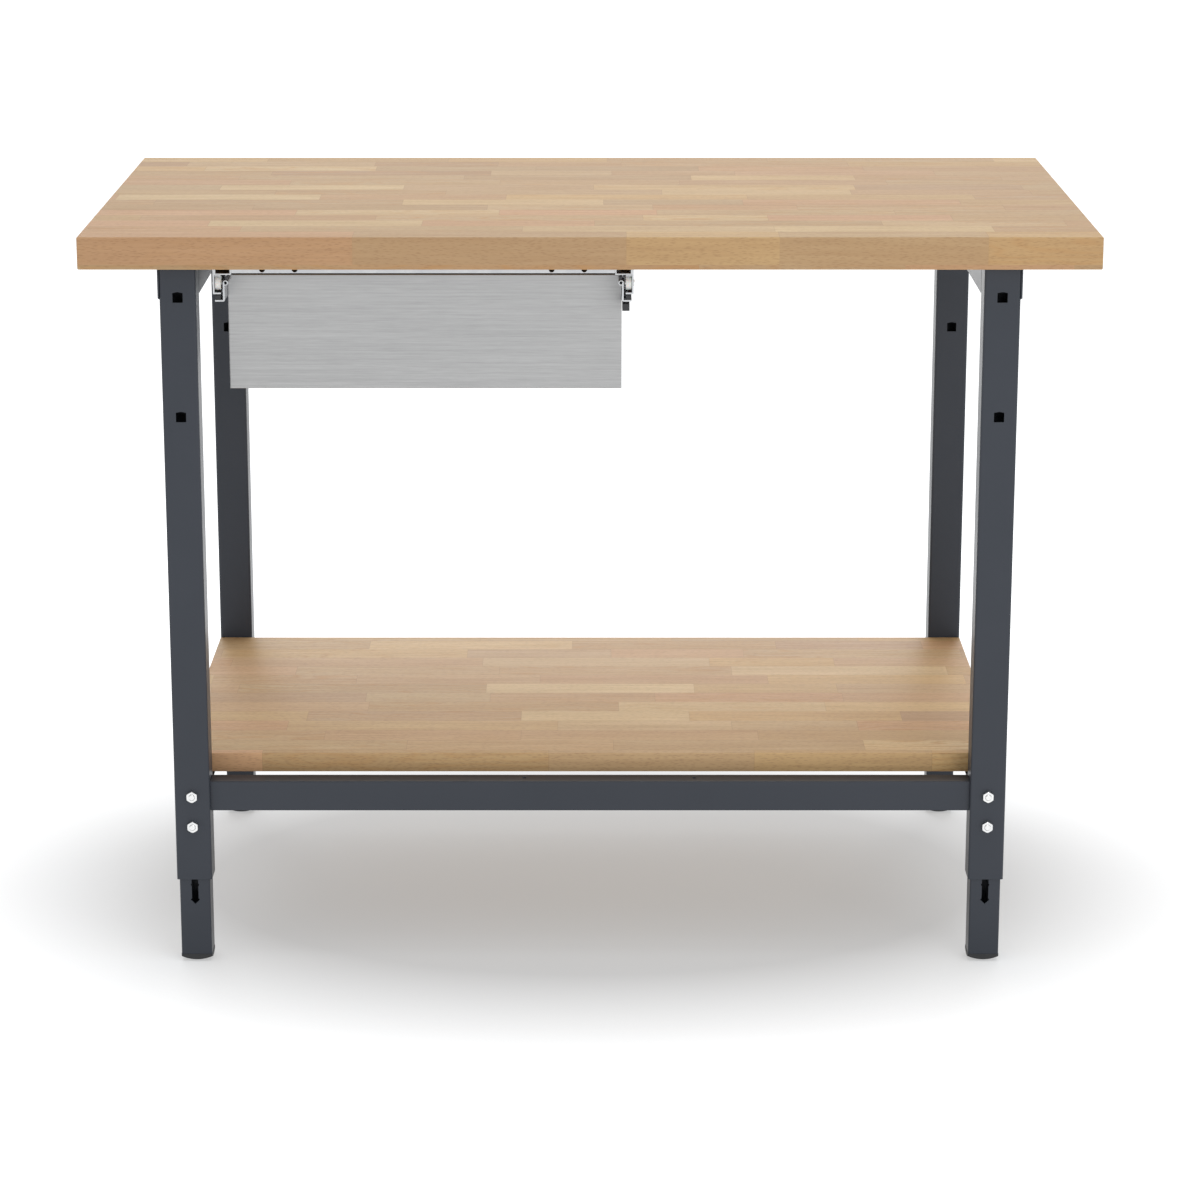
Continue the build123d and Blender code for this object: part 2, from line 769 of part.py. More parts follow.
def rear_buffers():
    buffers = []
    face = rear_stop_face()
    for side in (-1, 1):
        x = drawer_x + side * (rail_web_inner - lip_width / 2)
        plug = rod("y", face - buffer_thick, face, x, rear_axle_z, buffer_diameter)
        buffers.append(fillet(plug.edges().sort_by(Axis.Y)[0], buffer_edge))
    return group(buffers)


# ------------------------------------------------------------------ drawer


def drawer_panel():
    """Folded front: face, four returns, and a hem behind each side for its screws."""
    left = drawer_x - half_tray
    right = drawer_x + half_tray
    panel = block(left, right, panel_face, tray_front, panel_bottom, panel_top)
    t = panel_sheet
    panel -= block(left + t, right - t, panel_face + t, tray_front + over, panel_bottom + t, panel_top - t)
    corners = [e for e in panel.edges() if e.center().Y < panel_face + pick]
    panel = fillet(corners, panel_bend)
    for side in (-1, 1):
        wall = drawer_x + side * (half_tray - t)
        hem = block(wall, wall - side * panel_hem, tray_front - t, tray_front, panel_bottom + t, panel_top - t)
        for z in panel_screw_z:
            x = drawer_x + side * panel_screw_u
            hem -= rod("y", tray_front - t - over, tray_front + over, x, z, rivet + 2 * thread_gap)
        panel += hem
    return panel


def drawer_tray():
    """Sheet-steel tray with a flat hem round the inside of its top."""
    left = drawer_x - half_tray
    right = drawer_x + half_tray
    s = drawer_sheet
    tray = block(left, right, tray_front, tray_back, tray_bottom, tray_top)
    hem_z = tray_top - drawer_hem
    tray -= block(left + s, right - s, tray_front + s, tray_back - s, tray_bottom + s, hem_z)
    h = 2 * drawer_sheet
    tray -= block(left + h, right - h, tray_front + h, tray_back - h, hem_z - over, tray_top + over)
    tray = rounded(tray, Axis.Y, tray_bend, lambda c: c.Z < tray_bottom + pick)
    bore = rivet + 2 * thread_gap
    for side in (-1, 1):
        wall = drawer_x + side * half_tray
        for y in runner_rivet_y:
            tray -= rod("x", wall - s - over, wall + s + over, y, runner_rivet_z, bore)
        for z in panel_screw_z:
            x = drawer_x + side * panel_screw_u
            tray -= rod("y", tray_front - over, tray_front + s + over, x, z, bore)
    return tray


def panel_screws():
    screws = []
    for side in (-1, 1):
        for z in panel_screw_z:
            x = drawer_x + side * panel_screw_u
            seat = tray_front + drawer_sheet
            head = rod("y", seat, seat + panel_screw_head_height, x, z, panel_screw_head)
            head = fillet(head.edges().sort_by(Axis.Y)[-1], panel_screw_dome)
            screws.append(head + rod("y", seat - panel_screw_length, seat, x, z, rivet))
    return group(screws)


def runner(side):
    """Drawer-side profile: web, lower flange, upper flange over the rollers, curled front."""
    inner = drawer_x + side * half_tray
    web = drawer_x + side * runner_web_outer
    reach = drawer_x + side * flange_reach
    tongue = drawer_x + side * front_roller_u
    cut_y = slide_front + runner_notch
    low_top = runner_top - runner_notch_drop
    flange_low = runner_top - runner_flange_sheet
    profile = block(inner, web, slide_front, runner_back, runner_bottom, low_top)
    profile += block(inner, web, cut_y, runner_back, low_top, runner_top)
    profile += block(web, reach, slide_front, runner_back, runner_bottom, runner_bottom + slide_sheet)
    profile += block(web, reach, cut_y, runner_back, flange_low, runner_top)
    profile += block(tongue, reach, slide_front, cut_y, flange_low, runner_top)
    foot_z = runner_bottom + pick
    profile = rounded(profile, Axis.Y, runner_bend, lambda c: c.Z < foot_z and abs(c.X - inner) < pick)
    curl_x = inner - side * (curl_radius - slide_sheet)
    curl_z = low_top - curl_drop
    curl_end = panel_face - slide_sheet
    curl = rod("y", slide_front, curl_end, curl_x, curl_z, 2 * curl_radius)
    curl -= rod("y", slide_front - over, curl_end + over, curl_x, curl_z, 2 * (curl_radius - curl_sheet))
    profile += curl
    cut_x = (inner - side * over, web + side * over)
    for y in runner_rivet_y:
        profile -= rod("x", *cut_x, y, runner_rivet_z, rivet + 2 * thread_gap)
    profile -= rod("x", *cut_x, rear_axle_y, rear_axle_z, axle_diameter + 2 * thread_gap)
    if side > 0:
        profile += catch_bracket()
        profile -= catch_slot()
    return profile


def runner_rivets():
    rivets = []
    for side in (-1, 1):
        for y in runner_rivet_y:
            start = drawer_x + side * (half_tray - drawer_sheet)
            rivets.append(rivet_along_x(start, drawer_x + side * runner_web_outer, y, runner_rivet_z))
    return group(rivets)


def runner_glides():
    """Plastic blocks on the lower flanges, which keep the drawer from tipping."""
    glides = []
    front = slide_front + glide_setback
    low = runner_bottom + slide_sheet
    for side in (-1, 1):
        x0 = drawer_x + side * (rail_web_inner - lip_width + free_gap)
        x1 = drawer_x + side * (flange_reach - free_gap)
        glide = block(x0, x1, front, front + glide_length, low, lip_bottom - free_gap)
        upper = glide.edges().filter_by(Axis.X).sort_by(Axis.Z)[-2:]
        glides.append(chamfer(upper, glide_chamfer))
    return group(glides)


def rear_axles():
    """Stepped pins riveted into the runners' webs; the rollers turn outside the shoulders."""
    shoulder = rear_roller_u - roller_float
    end = rear_roller_u + roller_width + roller_float
    shaft = (half_tray, end, axle_diameter)
    collar = (runner_web_outer, shoulder, axle_head)
    cap = (end, end + axle_head_height, axle_head)
    return group([pin_along_x(side, (shaft, collar, cap), rear_axle_y, rear_axle_z) for side in (-1, 1)])


# ------------------------------------------------------------------ catch lever

catch_x0 = drawer_x + half_tray + catch_offset
catch_x1 = catch_x0 + catch_width
catch_mid = (catch_x0 + catch_x1) / 2
catch_top = runner_bottom - free_gap
catch_pin_y = slide_front + catch_pivot
catch_pin_z = runner_bottom - catch_pin_drop
catch_nose_y = slide_front + catch_length - catch_nose_margin
catch_bore = catch_pin_diameter + 2 * thread_gap


def catch_bracket():
    """Ear under the right-hand runner that holds the catch's pin."""
    half = catch_ear / 2
    ear_y = (catch_pin_y - catch_ear_length / 2, catch_pin_y + catch_ear_length / 2)
    low = catch_pin_z - catch_ear_drop
    ear = block(catch_mid - half, catch_mid + half, *ear_y, low, runner_bottom)
    return ear - rod("x", catch_mid - catch_ear, catch_mid + catch_ear, catch_pin_y, catch_pin_z, catch_bore)


def catch_slot():
    """Window in the runner's lower flange for the catch's nose."""
    half = catch_nose_width / 2 + catch_window_margin
    reach = catch_window / 2
    low = runner_bottom - over
    high = runner_bottom + slide_sheet + over
    return block(catch_mid - half, catch_mid + half, catch_nose_y - reach, catch_nose_y + reach, low, high)


def catch_lever():
    """Moulded lever: finger pad in front of the pin, nose behind it."""
    front = slide_front
    back = slide_front + catch_length
    low = catch_top - catch_height
    left = catch_x0 - over
    right = catch_x1 + over
    pad_end = catch_pin_y - catch_relief_margin
    lever = block(catch_x0, catch_x1, front, back, low, catch_top)
    lever -= block(left, right, front - over, pad_end, catch_top - catch_relief, catch_top + over)
    lever -= block(left, right, catch_pin_y + catch_boss, back + over, low - over, catch_top - catch_arm)
    half_nose = catch_nose_width / 2
    nose_reach = catch_nose_length / 2
    nose_top = lip_bottom - free_gap - catch_nose_gap
    nose_y = (catch_nose_y - nose_reach, catch_nose_y + nose_reach)
    lever += block(catch_mid - half_nose, catch_mid + half_nose, *nose_y, catch_top - catch_relief, nose_top)
    gap = catch_ear / 2 + catch_fork_gap
    fork_y = (catch_pin_y - catch_fork_length / 2, catch_pin_y + catch_fork_length / 2)
    lever -= block(catch_mid - gap, catch_mid + gap, *fork_y, low + over, catch_top + over)
    return lever - rod("x", left, right, catch_pin_y, catch_pin_z, catch_bore)


def catch_pin():
    start = catch_x0 + catch_pin_inset
    return rod("x", start, catch_x1 - catch_pin_inset, catch_pin_y, catch_pin_z, catch_pin_diameter)


# ------------------------------------------------------------------ all sub-parts

nodes = {
    "worktop": worktop(),
    "shelf": shelf(),
    "cross_rail_front": cross_rail(-1),
    "cross_rail_rear": cross_rail(1),
    "worktop_screws": top_screws(),
    "shelf_screws": shelf_screws(),
    "clamp_bolts": clamp_bolts(),
    "clamp_nuts": clamp_nuts(),
    "rail_bolts": rail_bolts(),
    "rail_rivet_nuts": rail_rivet_nuts(),
    "tie_strip_front": tie_strip(-1),
    "tie_strip_rear": tie_strip(1),
    "tie_rivets": tie_rivets(),
    "hanger_screws": hanger_screws(),
    "hanger_spacers": hanger_spacers(),
    "rail_rivets": rail_rivets(),
    "front_roller_axles": front_axles(),
    "rear_buffers": rear_buffers(),
    "drawer_front": drawer_panel(),
    "drawer_tray": drawer_tray(),
    "drawer_front_screws": panel_screws(),
    "runner_rivets": runner_rivets(),
    "runner_glides": runner_glides(),
    "rear_roller_axles": rear_axles(),
    "catch_lever": catch_lever(),
    "catch_pin": catch_pin(),
}

for side_name, side in (("left", -1), ("right", 1)):
    nodes[f"top_beam_{side_name}"] = top_beam(side)
    nodes[f"lower_beam_{side_name}"] = lower_beam(side)
    nodes[f"slide_hanger_{side_name}"] = slide_hanger(side)
    nodes[f"fixed_rail_{side_name}"] = fixed_rail(side)
    nodes[f"runner_{side_name}"] = runner(side)
    nodes[f"front_roller_{side_name}"] = front_roller(side)
    nodes[f"rear_roller_{side_name}"] = rear_roller(side)
    for end_name, end in (("front", -1), ("rear", 1)):
        nodes[f"upper_leg_{end_name}_{side_name}"] = upper_leg(side, end)
        nodes[f"inner_leg_{end_name}_{side_name}"] = inner_leg(side, end)
        nodes[f"foot_{end_name}_{side_name}"] = foot(side, end)

for name, shape in nodes.items():
    export_step(shape, f"parts/{name}.step")
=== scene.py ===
# %% [markdown]
# # A height-adjustable workbench with one drawer
# The bench is a solid beech top and a beech shelf on a powder-coated steel frame. A sheet-steel drawer
# hangs under the left half of the top on roller slides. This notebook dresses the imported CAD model:
# the steel, the fasteners and the plastic keep their CAD shapes and get their finishes here. The two
# boards are modelled again with softened edges, and weld beads are added to the end frames.

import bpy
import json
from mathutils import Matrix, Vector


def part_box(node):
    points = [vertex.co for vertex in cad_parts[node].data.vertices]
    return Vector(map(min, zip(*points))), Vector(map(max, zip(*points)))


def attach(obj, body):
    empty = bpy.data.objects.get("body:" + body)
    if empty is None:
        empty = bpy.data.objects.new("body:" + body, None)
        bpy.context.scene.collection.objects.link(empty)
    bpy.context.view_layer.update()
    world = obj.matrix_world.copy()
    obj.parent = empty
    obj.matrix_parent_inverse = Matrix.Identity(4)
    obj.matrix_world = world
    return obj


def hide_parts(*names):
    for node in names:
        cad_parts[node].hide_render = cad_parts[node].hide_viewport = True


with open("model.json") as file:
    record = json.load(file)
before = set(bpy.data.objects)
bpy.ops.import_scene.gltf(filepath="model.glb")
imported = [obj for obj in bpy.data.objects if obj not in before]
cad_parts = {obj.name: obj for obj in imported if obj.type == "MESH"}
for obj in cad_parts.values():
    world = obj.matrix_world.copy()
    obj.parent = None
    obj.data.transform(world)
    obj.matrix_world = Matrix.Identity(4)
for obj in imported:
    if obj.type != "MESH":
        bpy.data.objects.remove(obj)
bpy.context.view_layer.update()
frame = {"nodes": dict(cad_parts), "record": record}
print("nodes:", len(frame["nodes"]))

# %% [markdown]
# ## Tools
# Blender measures in metres, and so does the frame. A workshop drawing is in millimetres, so one
# constant turns the small sizes below into metres.

# %% Imports and units
import json
import math

import bmesh
import bpy
from mathutils import Matrix, Vector

MM = 0.001
print("one millimetre is", MM, "metres")

# %% [markdown]
# ## A short way to write shader trees
# Every finish below is a small tree of nodes. Two helpers do most of the work: new_finish makes a
# material with its Principled shader, and add adds a node, sets its sockets and links its inputs.
# The others are short names for the nodes that are used again and again. The last one softens edges
# in the shading alone, because the CAD parts keep their sharp meshes.

# %% Shader helpers
def new_finish(name):
    """A material with only its Principled shader; returns the material, its tree and the shader."""
    material = bpy.data.materials.new(name)
    material.use_nodes = True
    tree = material.node_tree
    shader = tree.nodes["Principled BSDF"]
    return material, tree, shader


def add(tree, kind, inputs=None, **settings):
    """Add a node. inputs holds a number, a colour or another node's output for each socket."""
    made = tree.nodes.new(kind)
    for key, value in settings.items():
        setattr(made, key, value)
    for socket, value in (inputs or {}).items():
        if isinstance(value, bpy.types.NodeSocket):
            tree.links.new(value, made.inputs[socket])
        else:
            made.inputs[socket].default_value = value
    return made


def maths(tree, operation, a, b=0.0, c=0.0):
    """One Math node; returns its output."""
    return add(tree, "ShaderNodeMath", {0: a, 1: b, 2: c}, operation=operation).outputs[0]


def ramp(tree, factor, stops, interpolation="LINEAR"):
    """Colour ramp from (position, colour) stops; returns its colour output."""
    made = add(tree, "ShaderNodeValToRGB", {"Fac": factor})
    made.color_ramp.interpolation = interpolation
    points = made.color_ramp.elements
    while len(points) < len(stops):
        points.new(0.5)
    for point, (position, colour) in zip(points, stops):
        point.position = position
        point.color = (*colour, 1.0)
    return made.outputs["Color"]


def mix(tree, factor, a, b, blend="MIX"):
    """Colour mix; returns its colour output."""
    made = add(tree, "ShaderNodeMix", data_type="RGBA", blend_type=blend)
    for socket, value in ((0, factor), (6, a), (7, b)):
        if isinstance(value, bpy.types.NodeSocket):
            tree.links.new(value, made.inputs[socket])
        else:
            made.inputs[socket].default_value = (*value, 1.0) if isinstance(value, tuple) else value
    return made.outputs[2]


def grey(value):
    return (value, value, value)


def stretched(tree, point, scale):
    """Object coordinates stretched along the axes, so that a pattern runs one way."""
    return add(tree, "ShaderNodeVectorMath", {0: point, 1: scale}, operation="MULTIPLY").outputs[0]


def noise(tree, point, scale, detail=3.0, roughness=0.55):
    """Noise value over a stretched point; returns its factor output."""
    inputs = {"Vector": point, "Scale": scale, "Detail": detail, "Roughness": roughness}
    return add(tree, "ShaderNodeTexNoise", inputs).outputs["Fac"]


def remap(tree, value, low, high, to_low, to_high):
    """Map Range, clamped; returns its output."""
    inputs = {"Value": value, "From Min": low, "From Max": high, "To Min": to_low, "To Max": to_high}
    return add(tree, "ShaderNodeMapRange", inputs, clamp=True).outputs["Result"]


def bump(tree, shader, height, distance, strength=1.0, rounding=None):
    """Bump whose distance is the real depth of the mark; rounding softens the edges it lies on."""
    made = add(tree, "ShaderNodeBump", {"Height": height, "Distance": distance, "Strength": strength})
    if rounding:
        tree.links.new(rounding, made.inputs["Normal"])
    tree.links.new(made.outputs["Normal"], shader.inputs["Normal"])


def soft_edge(tree, radius):
    """Edges rounded in the shading. Returns the rounded normal and a mask that is 1 on the edges."""
    rounded = add(tree, "ShaderNodeBevel", {"Radius": radius}, samples=4).outputs["Normal"]
    true = add(tree, "ShaderNodeNewGeometry").outputs["Normal"]
    both = {0: rounded, 1: true}
    facing = add(tree, "ShaderNodeVectorMath", both, operation="DOT_PRODUCT").outputs["Value"]
    return rounded, remap(tree, facing, 0.995, 0.85, 0.0, 1.0)


print("shader helpers ready")

# %% [markdown]
# ## Beech staves
# The top and the shelf are glued from beech staves about 44 mm wide and 260 mm long on average,
# butted end to end. Each stave comes from another board, so its tone jumps at every joint while its grain
# runs on. The material numbers the rows across the board, gives each row its own one-dimensional
# Voronoi cells along its length, and reads one random colour per cell: that is the stave. The same
# random colour moves the grain, so no grain line crosses a joint. Some staves were sawn flat and
# show arched growth rings. The short brown flecks are the rays that mark beech, and they are long
# and thin cells of their own.

# %% Beech
STAVE_WIDTH = 43.75 * MM
STAVE_LENGTH = 0.26
FIGURE_TINT = (0.34, 0.185, 0.085)
RING_TINT = (0.47, 0.245, 0.085)
STREAK_TINT = (0.27, 0.15, 0.075)
FLECK_TINT = (0.20, 0.10, 0.05)


def stave_cells(tree, x, y, z, seed, layer_top):
    """One random colour per stave, and masks for the joints between rows and between ends."""
    across = maths(tree, "MULTIPLY", y, 0.9995 / STAVE_WIDTH)
    layer = maths(tree, "GREATER_THAN", z, layer_top)
    row = maths(tree, "MULTIPLY_ADD", layer, 5.0, maths(tree, "FLOOR", across))
    start = maths(tree, "MULTIPLY_ADD", row, 17.317, seed)
    along = maths(tree, "MULTIPLY_ADD", x, 1 / STAVE_LENGTH, start)
    cell = {"W": along, "Scale": 1.0, "Randomness": 0.9}
    stave = add(tree, "ShaderNodeTexVoronoi", cell, voronoi_dimensions="1D", feature="F1")
    butt = add(tree, "ShaderNodeTexVoronoi", cell, voronoi_dimensions="1D", feature="DISTANCE_TO_EDGE")
    side_joint = remap(tree, maths(tree, "PINGPONG", across, 0.5), 0.0, 0.012, 1.0, 0.0)
    end_joint = remap(tree, butt.outputs["Distance"], 0.0, 0.002, 1.0, 0.0)
    draw = add(tree, "ShaderNodeSeparateColor", {0: stave.outputs["Color"]})
    return draw.outputs, maths(tree, "MAXIMUM", side_joint, end_joint)


def growth_rings(tree, own):
    """Arched lines of the growth rings on the face of a stave that was sawn flat."""
    drift = noise(tree, stretched(tree, own, (4.5, 22.0, 22.0)), 1.0, 2.0)
    parts = add(tree, "ShaderNodeSeparateXYZ", {0: own}).outputs
    depth = maths(tree, "ADD", parts["Y"], parts["Z"])
    phase = maths(tree, "MULTIPLY_ADD", depth, 85.0, maths(tree, "MULTIPLY", drift, 9.0))
    return remap(tree, maths(tree, "PINGPONG", phase, 0.5), 0.22, 0.5, 0.0, 1.0)


def beech(name, seed, tones, layer_top, painted_light_gain=1.0):
    material, tree, shader = new_finish(name)
    space = add(tree, "ShaderNodeTexCoord")
    point = space.outputs["Object"]
    x, y, z = add(tree, "ShaderNodeSeparateXYZ", {0: point}).outputs
    (tone, shift, figure), joint = stave_cells(tree, x, y, z, seed, layer_top)

    slide = {0: maths(tree, "MULTIPLY", shift, 9.0), 1: maths(tree, "MULTIPLY", figure, 5.0),
             2: maths(tree, "MULTIPLY", tone, 3.0)}
    slid = add(tree, "ShaderNodeCombineXYZ", slide).outputs[0]
    own = add(tree, "ShaderNodeVectorMath", {0: point, 1: slid}, operation="ADD").outputs[0]
    broad = noise(tree, stretched(tree, own, (2.6, 30.0, 30.0)), 1.0, 3.0)
    streak = noise(tree, stretched(tree, own, (7.0, 240.0, 240.0)), 1.0, 4.0, 0.65)
    pores = noise(tree, stretched(tree, own, (60.0, 1500.0, 1500.0)), 1.0, 2.0)
    ray = {"Vector": stretched(tree, own, (110.0, 640.0, 640.0)), "Scale": 1.0}
    rays = add(tree, "ShaderNodeTexVoronoi", ray, feature="F1").outputs["Distance"]

    # Every stave tone is scaled by one gain per board: painted light, so each board is a brighter or darker
    # copy of the same beech.
    colour = ramp(tree, tone, [(place, tuple(painted_light_gain * v for v in tint)) for place, tint in tones])
    colour = mix(tree, remap(tree, broad, 0.32, 0.68, 0.0, 0.26), colour, FIGURE_TINT)
    arched = maths(tree, "MULTIPLY", growth_rings(tree, own), remap(tree, figure, 0.35, 1.0, 0.04, 0.60))
    colour = mix(tree, arched, colour, RING_TINT)
    colour = mix(tree, remap(tree, streak, 0.35, 0.7, 0.0, 0.26), colour, STREAK_TINT)
    colour = mix(tree, remap(tree, rays, 0.14, 0.44, 0.34, 0.0), colour, FLECK_TINT)
    colour = mix(tree, maths(tree, "MULTIPLY", joint, 0.34), colour, FLECK_TINT)

    normal_x = add(tree, "ShaderNodeSeparateXYZ", {0: space.outputs["Normal"]}).outputs["X"]
    end_face = remap(tree, maths(tree, "ABSOLUTE", normal_x), 0.6, 0.8, 0.0, 1.0)
    rings = add(tree, "ShaderNodeTexWave", {"Vector": own, "Scale": 95.0, "Distortion": 3.0, "Detail": 2.0},
                wave_type="RINGS", rings_direction="X").outputs["Fac"]
    ring_colour = ramp(tree, rings, [(0.0, (0.30, 0.175, 0.085)), (1.0, FLECK_TINT)])
    colour = mix(tree, end_face, colour, mix(tree, 0.55, colour, ring_colour))

    tree.links.new(colour, shader.inputs["Base Color"])
    tree.links.new(remap(tree, streak, 0.3, 0.75, 0.48, 0.62), shader.inputs["Roughness"])
    shader.inputs["Specular IOR Level"].default_value = 0.22
    relief = maths(tree, "MULTIPLY_ADD", joint, -0.8, maths(tree, "MULTIPLY", pores, 0.5))
    bump(tree, shader, relief, 0.08 * MM, 0.6)
    return material


STAVE_TONES = [(0.00, (0.56, 0.335, 0.185)), (0.14, (0.49, 0.315, 0.165)), (0.34, (0.50, 0.355, 0.190)),
               (0.50, (0.43, 0.290, 0.155)), (0.64, (0.56, 0.375, 0.175)), (0.80, (0.60, 0.445, 0.240)),
               (1.00, (0.41, 0.260, 0.145))]
# The shelf's beech is a brighter copy of the top's (1.12 against 0.95): painted light standing in for light
# that the shelf, in the shade of the top, does not get.
beech_top = beech("beech_top", 3.0, STAVE_TONES, layer_top=0.911, painted_light_gain=0.95)
beech_shelf = beech("beech_shelf", 41.0, STAVE_TONES, layer_top=0.0, painted_light_gain=1.12)
print("two boards' worth of beech")

# %% [markdown]
# ## Powder coat
# The frame is coated in fine anthracite powder. Baked powder isn't perfectly smooth: it flows into
# a faint orange peel, which breaks up the highlights along the tubes' rounded corners. Two scales
# of noise make it: the peel itself, and slow drifts of gloss.

# %% Powder coat
def powder_coat():
    material, tree, shader = new_finish("powder_coat_anthracite")
    point = add(tree, "ShaderNodeTexCoord").outputs["Object"]
    peel = noise(tree, point, 900.0, 2.0)
    drift = noise(tree, point, 9.0, 3.0)
    grain = noise(tree, point, 2600.0, 1.0)
    rounded, edge = soft_edge(tree, 0.7 * MM)
    colour = ramp(tree, drift, [(0.3, (0.031, 0.036, 0.046)), (0.7, (0.035, 0.040, 0.051))])
    colour = mix(tree, remap(tree, grain, 0.35, 0.65, 0.0, 0.25), colour, (0.046, 0.052, 0.064))
    colour = mix(tree, maths(tree, "MULTIPLY", edge, 0.5), colour, (0.070, 0.077, 0.090))
    tree.links.new(colour, shader.inputs["Base Color"])
    gloss = remap(tree, drift, 0.3, 0.7, 0.33, 0.40)
    tree.links.new(maths(tree, "MULTIPLY_ADD", edge, -0.06, gloss), shader.inputs["Roughness"])
    shader.inputs["Specular IOR Level"].default_value = 0.25
    bump(tree, shader, peel, 0.035 * MM, 0.5, rounded)
    return material


anthracite = powder_coat()
print("anthracite powder coat")

# %% [markdown]
# ## Brushed stainless steel
# The drawer's face was brushed from side to side. Brushing leaves fine parallel scratches of mixed
# length, so two noises are stretched along X, one about a hundred times and one about forty. The
# scratches tint the metal a little, roughen it and lift its surface.

# %% Brushed steel
def brushed_steel():
    material, tree, shader = new_finish("stainless_brushed")
    point = add(tree, "ShaderNodeTexCoord").outputs["Object"]
    long_marks = noise(tree, stretched(tree, point, (4.0, 420.0, 420.0)), 1.0, 4.0, 0.7)
    short_marks = noise(tree, stretched(tree, point, (30.0, 1300.0, 1300.0)), 1.0, 3.0, 0.7)
    cloud = noise(tree, stretched(tree, point, (5.0, 14.0, 14.0)), 1.0, 3.0)
    half_short = maths(tree, "MULTIPLY", short_marks, 0.5)
    marks = maths(tree, "ADD", maths(tree, "MULTIPLY", long_marks, 0.5), half_short)
    colour = ramp(tree, marks, [(0.36, grey(0.315)), (0.64, grey(0.445))])
    colour = mix(tree, remap(tree, cloud, 0.3, 0.7, 0.0, 0.25), colour, grey(0.36))
    rounded, edge = soft_edge(tree, 0.5 * MM)
    colour = mix(tree, maths(tree, "MULTIPLY", edge, 0.5), colour, grey(0.52))
    tree.links.new(colour, shader.inputs["Base Color"])
    shader.inputs["Metallic"].default_value = 1.0
    shader.inputs["Anisotropic"].default_value = 0.4
    tree.links.new(remap(tree, marks, 0.3, 0.7, 0.34, 0.50), shader.inputs["Roughness"])
    bump(tree, shader, marks, 0.02 * MM, 0.5, rounded)
    return material


stainless = brushed_steel()
print("brushed stainless steel")

# %% [markdown]
# ## Zinc
# The slides and the tray are made from bright zinc-plated sheet. Its surface shows faint rolling lines along
# the strip and cloudy patches where the plating is thicker. Fasteners are plated in a barrel: they
# are brighter and carry tiny knocks instead of rolling lines.

# %% Zinc-plated sheet and fasteners
def zinc_sheet():
    material, tree, shader = new_finish("zinc_sheet")
    point = add(tree, "ShaderNodeTexCoord").outputs["Object"]
    rolling = noise(tree, stretched(tree, point, (350.0, 5.0, 350.0)), 1.0, 2.0, 0.5)
    cloud = noise(tree, point, 45.0, 1.0)
    rounded, edge = soft_edge(tree, 0.4 * MM)
    colour = ramp(tree, cloud, [(0.3, (0.47, 0.48, 0.50)), (0.7, (0.56, 0.57, 0.58))])
    colour = mix(tree, remap(tree, rolling, 0.4, 0.7, 0.0, 0.25), colour, (0.42, 0.43, 0.45))
    colour = mix(tree, maths(tree, "MULTIPLY", edge, 0.8), colour, (0.80, 0.81, 0.82))
    tree.links.new(colour, shader.inputs["Base Color"])
    shader.inputs["Metallic"].default_value = 1.0
    tree.links.new(remap(tree, cloud, 0.3, 0.7, 0.28, 0.36), shader.inputs["Roughness"])
    bump(tree, shader, rolling, 0.006 * MM, 0.3, rounded)
    return material


def zinc_fastener():
    material, tree, shader = new_finish("zinc_fastener")
    point = add(tree, "ShaderNodeTexCoord").outputs["Object"]
    knocks = noise(tree, point, 420.0, 3.0)
    tint = noise(tree, point, 60.0, 2.0)
    rounded, edge = soft_edge(tree, 0.35 * MM)
    colour = ramp(tree, tint, [(0.3, (0.66, 0.67, 0.68)), (0.7, (0.76, 0.76, 0.75))])
    colour = mix(tree, maths(tree, "MULTIPLY", edge, 0.6), colour, grey(0.90))
    tree.links.new(colour, shader.inputs["Base Color"])
    shader.inputs["Metallic"].default_value = 1.0
    tree.links.new(remap(tree, knocks, 0.35, 0.7, 0.2, 0.38), shader.inputs["Roughness"])
    bump(tree, shader, knocks, 0.03 * MM, 0.35, rounded)
    return material


plated_sheet = zinc_sheet()
plated_fastener = zinc_fastener()
print("zinc sheet and zinc fasteners")

# %% [markdown]
# ## Plastics and rubber
# The rollers are natural nylon, slightly milky and worn smooth on the tread. The feet, the glides
# and the catch are black plastic with the fine spark texture of a mould. The buffers are rubber,
# which is rougher still and never quite black.

# %% Nylon, black plastic and rubber
def moulded(name, dark, light, roughness, texture_scale, depth):
    material, tree, shader = new_finish(name)
    point = add(tree, "ShaderNodeTexCoord").outputs["Object"]
    spark = noise(tree, point, texture_scale, 2.0)
    drift = noise(tree, point, 40.0, 2.0)
    rounded, edge = soft_edge(tree, 0.4 * MM)
    colour = ramp(tree, drift, [(0.3, dark), (0.7, light)])
    colour = mix(tree, maths(tree, "MULTIPLY", edge, 0.6), colour, tuple(1.5 * v for v in light))
    tree.links.new(colour, shader.inputs["Base Color"])
    low, high = roughness
    gloss = remap(tree, spark, 0.3, 0.7, low, high)
    tree.links.new(maths(tree, "MULTIPLY_ADD", edge, -0.1, gloss), shader.inputs["Roughness"])
    bump(tree, shader, spark, depth * MM, 0.5, rounded)
    return material, shader


nylon, nylon_shader = moulded("nylon_natural", (0.60, 0.60, 0.58), (0.68, 0.68, 0.66), (0.32, 0.45),
                              700.0, 0.02)
nylon_shader.inputs["Subsurface Weight"].default_value = 0.15
nylon_shader.inputs["Subsurface Scale"].default_value = 1.0 * MM
black_plastic, _ = moulded("plastic_black", (0.014, 0.015, 0.017), (0.020, 0.021, 0.023), (0.42, 0.58),
                           1500.0, 0.03)
black_rubber, _ = moulded("rubber_black", grey(0.012), grey(0.018), (0.65, 0.8), 500.0, 0.04)
print("nylon, black plastic, black rubber")
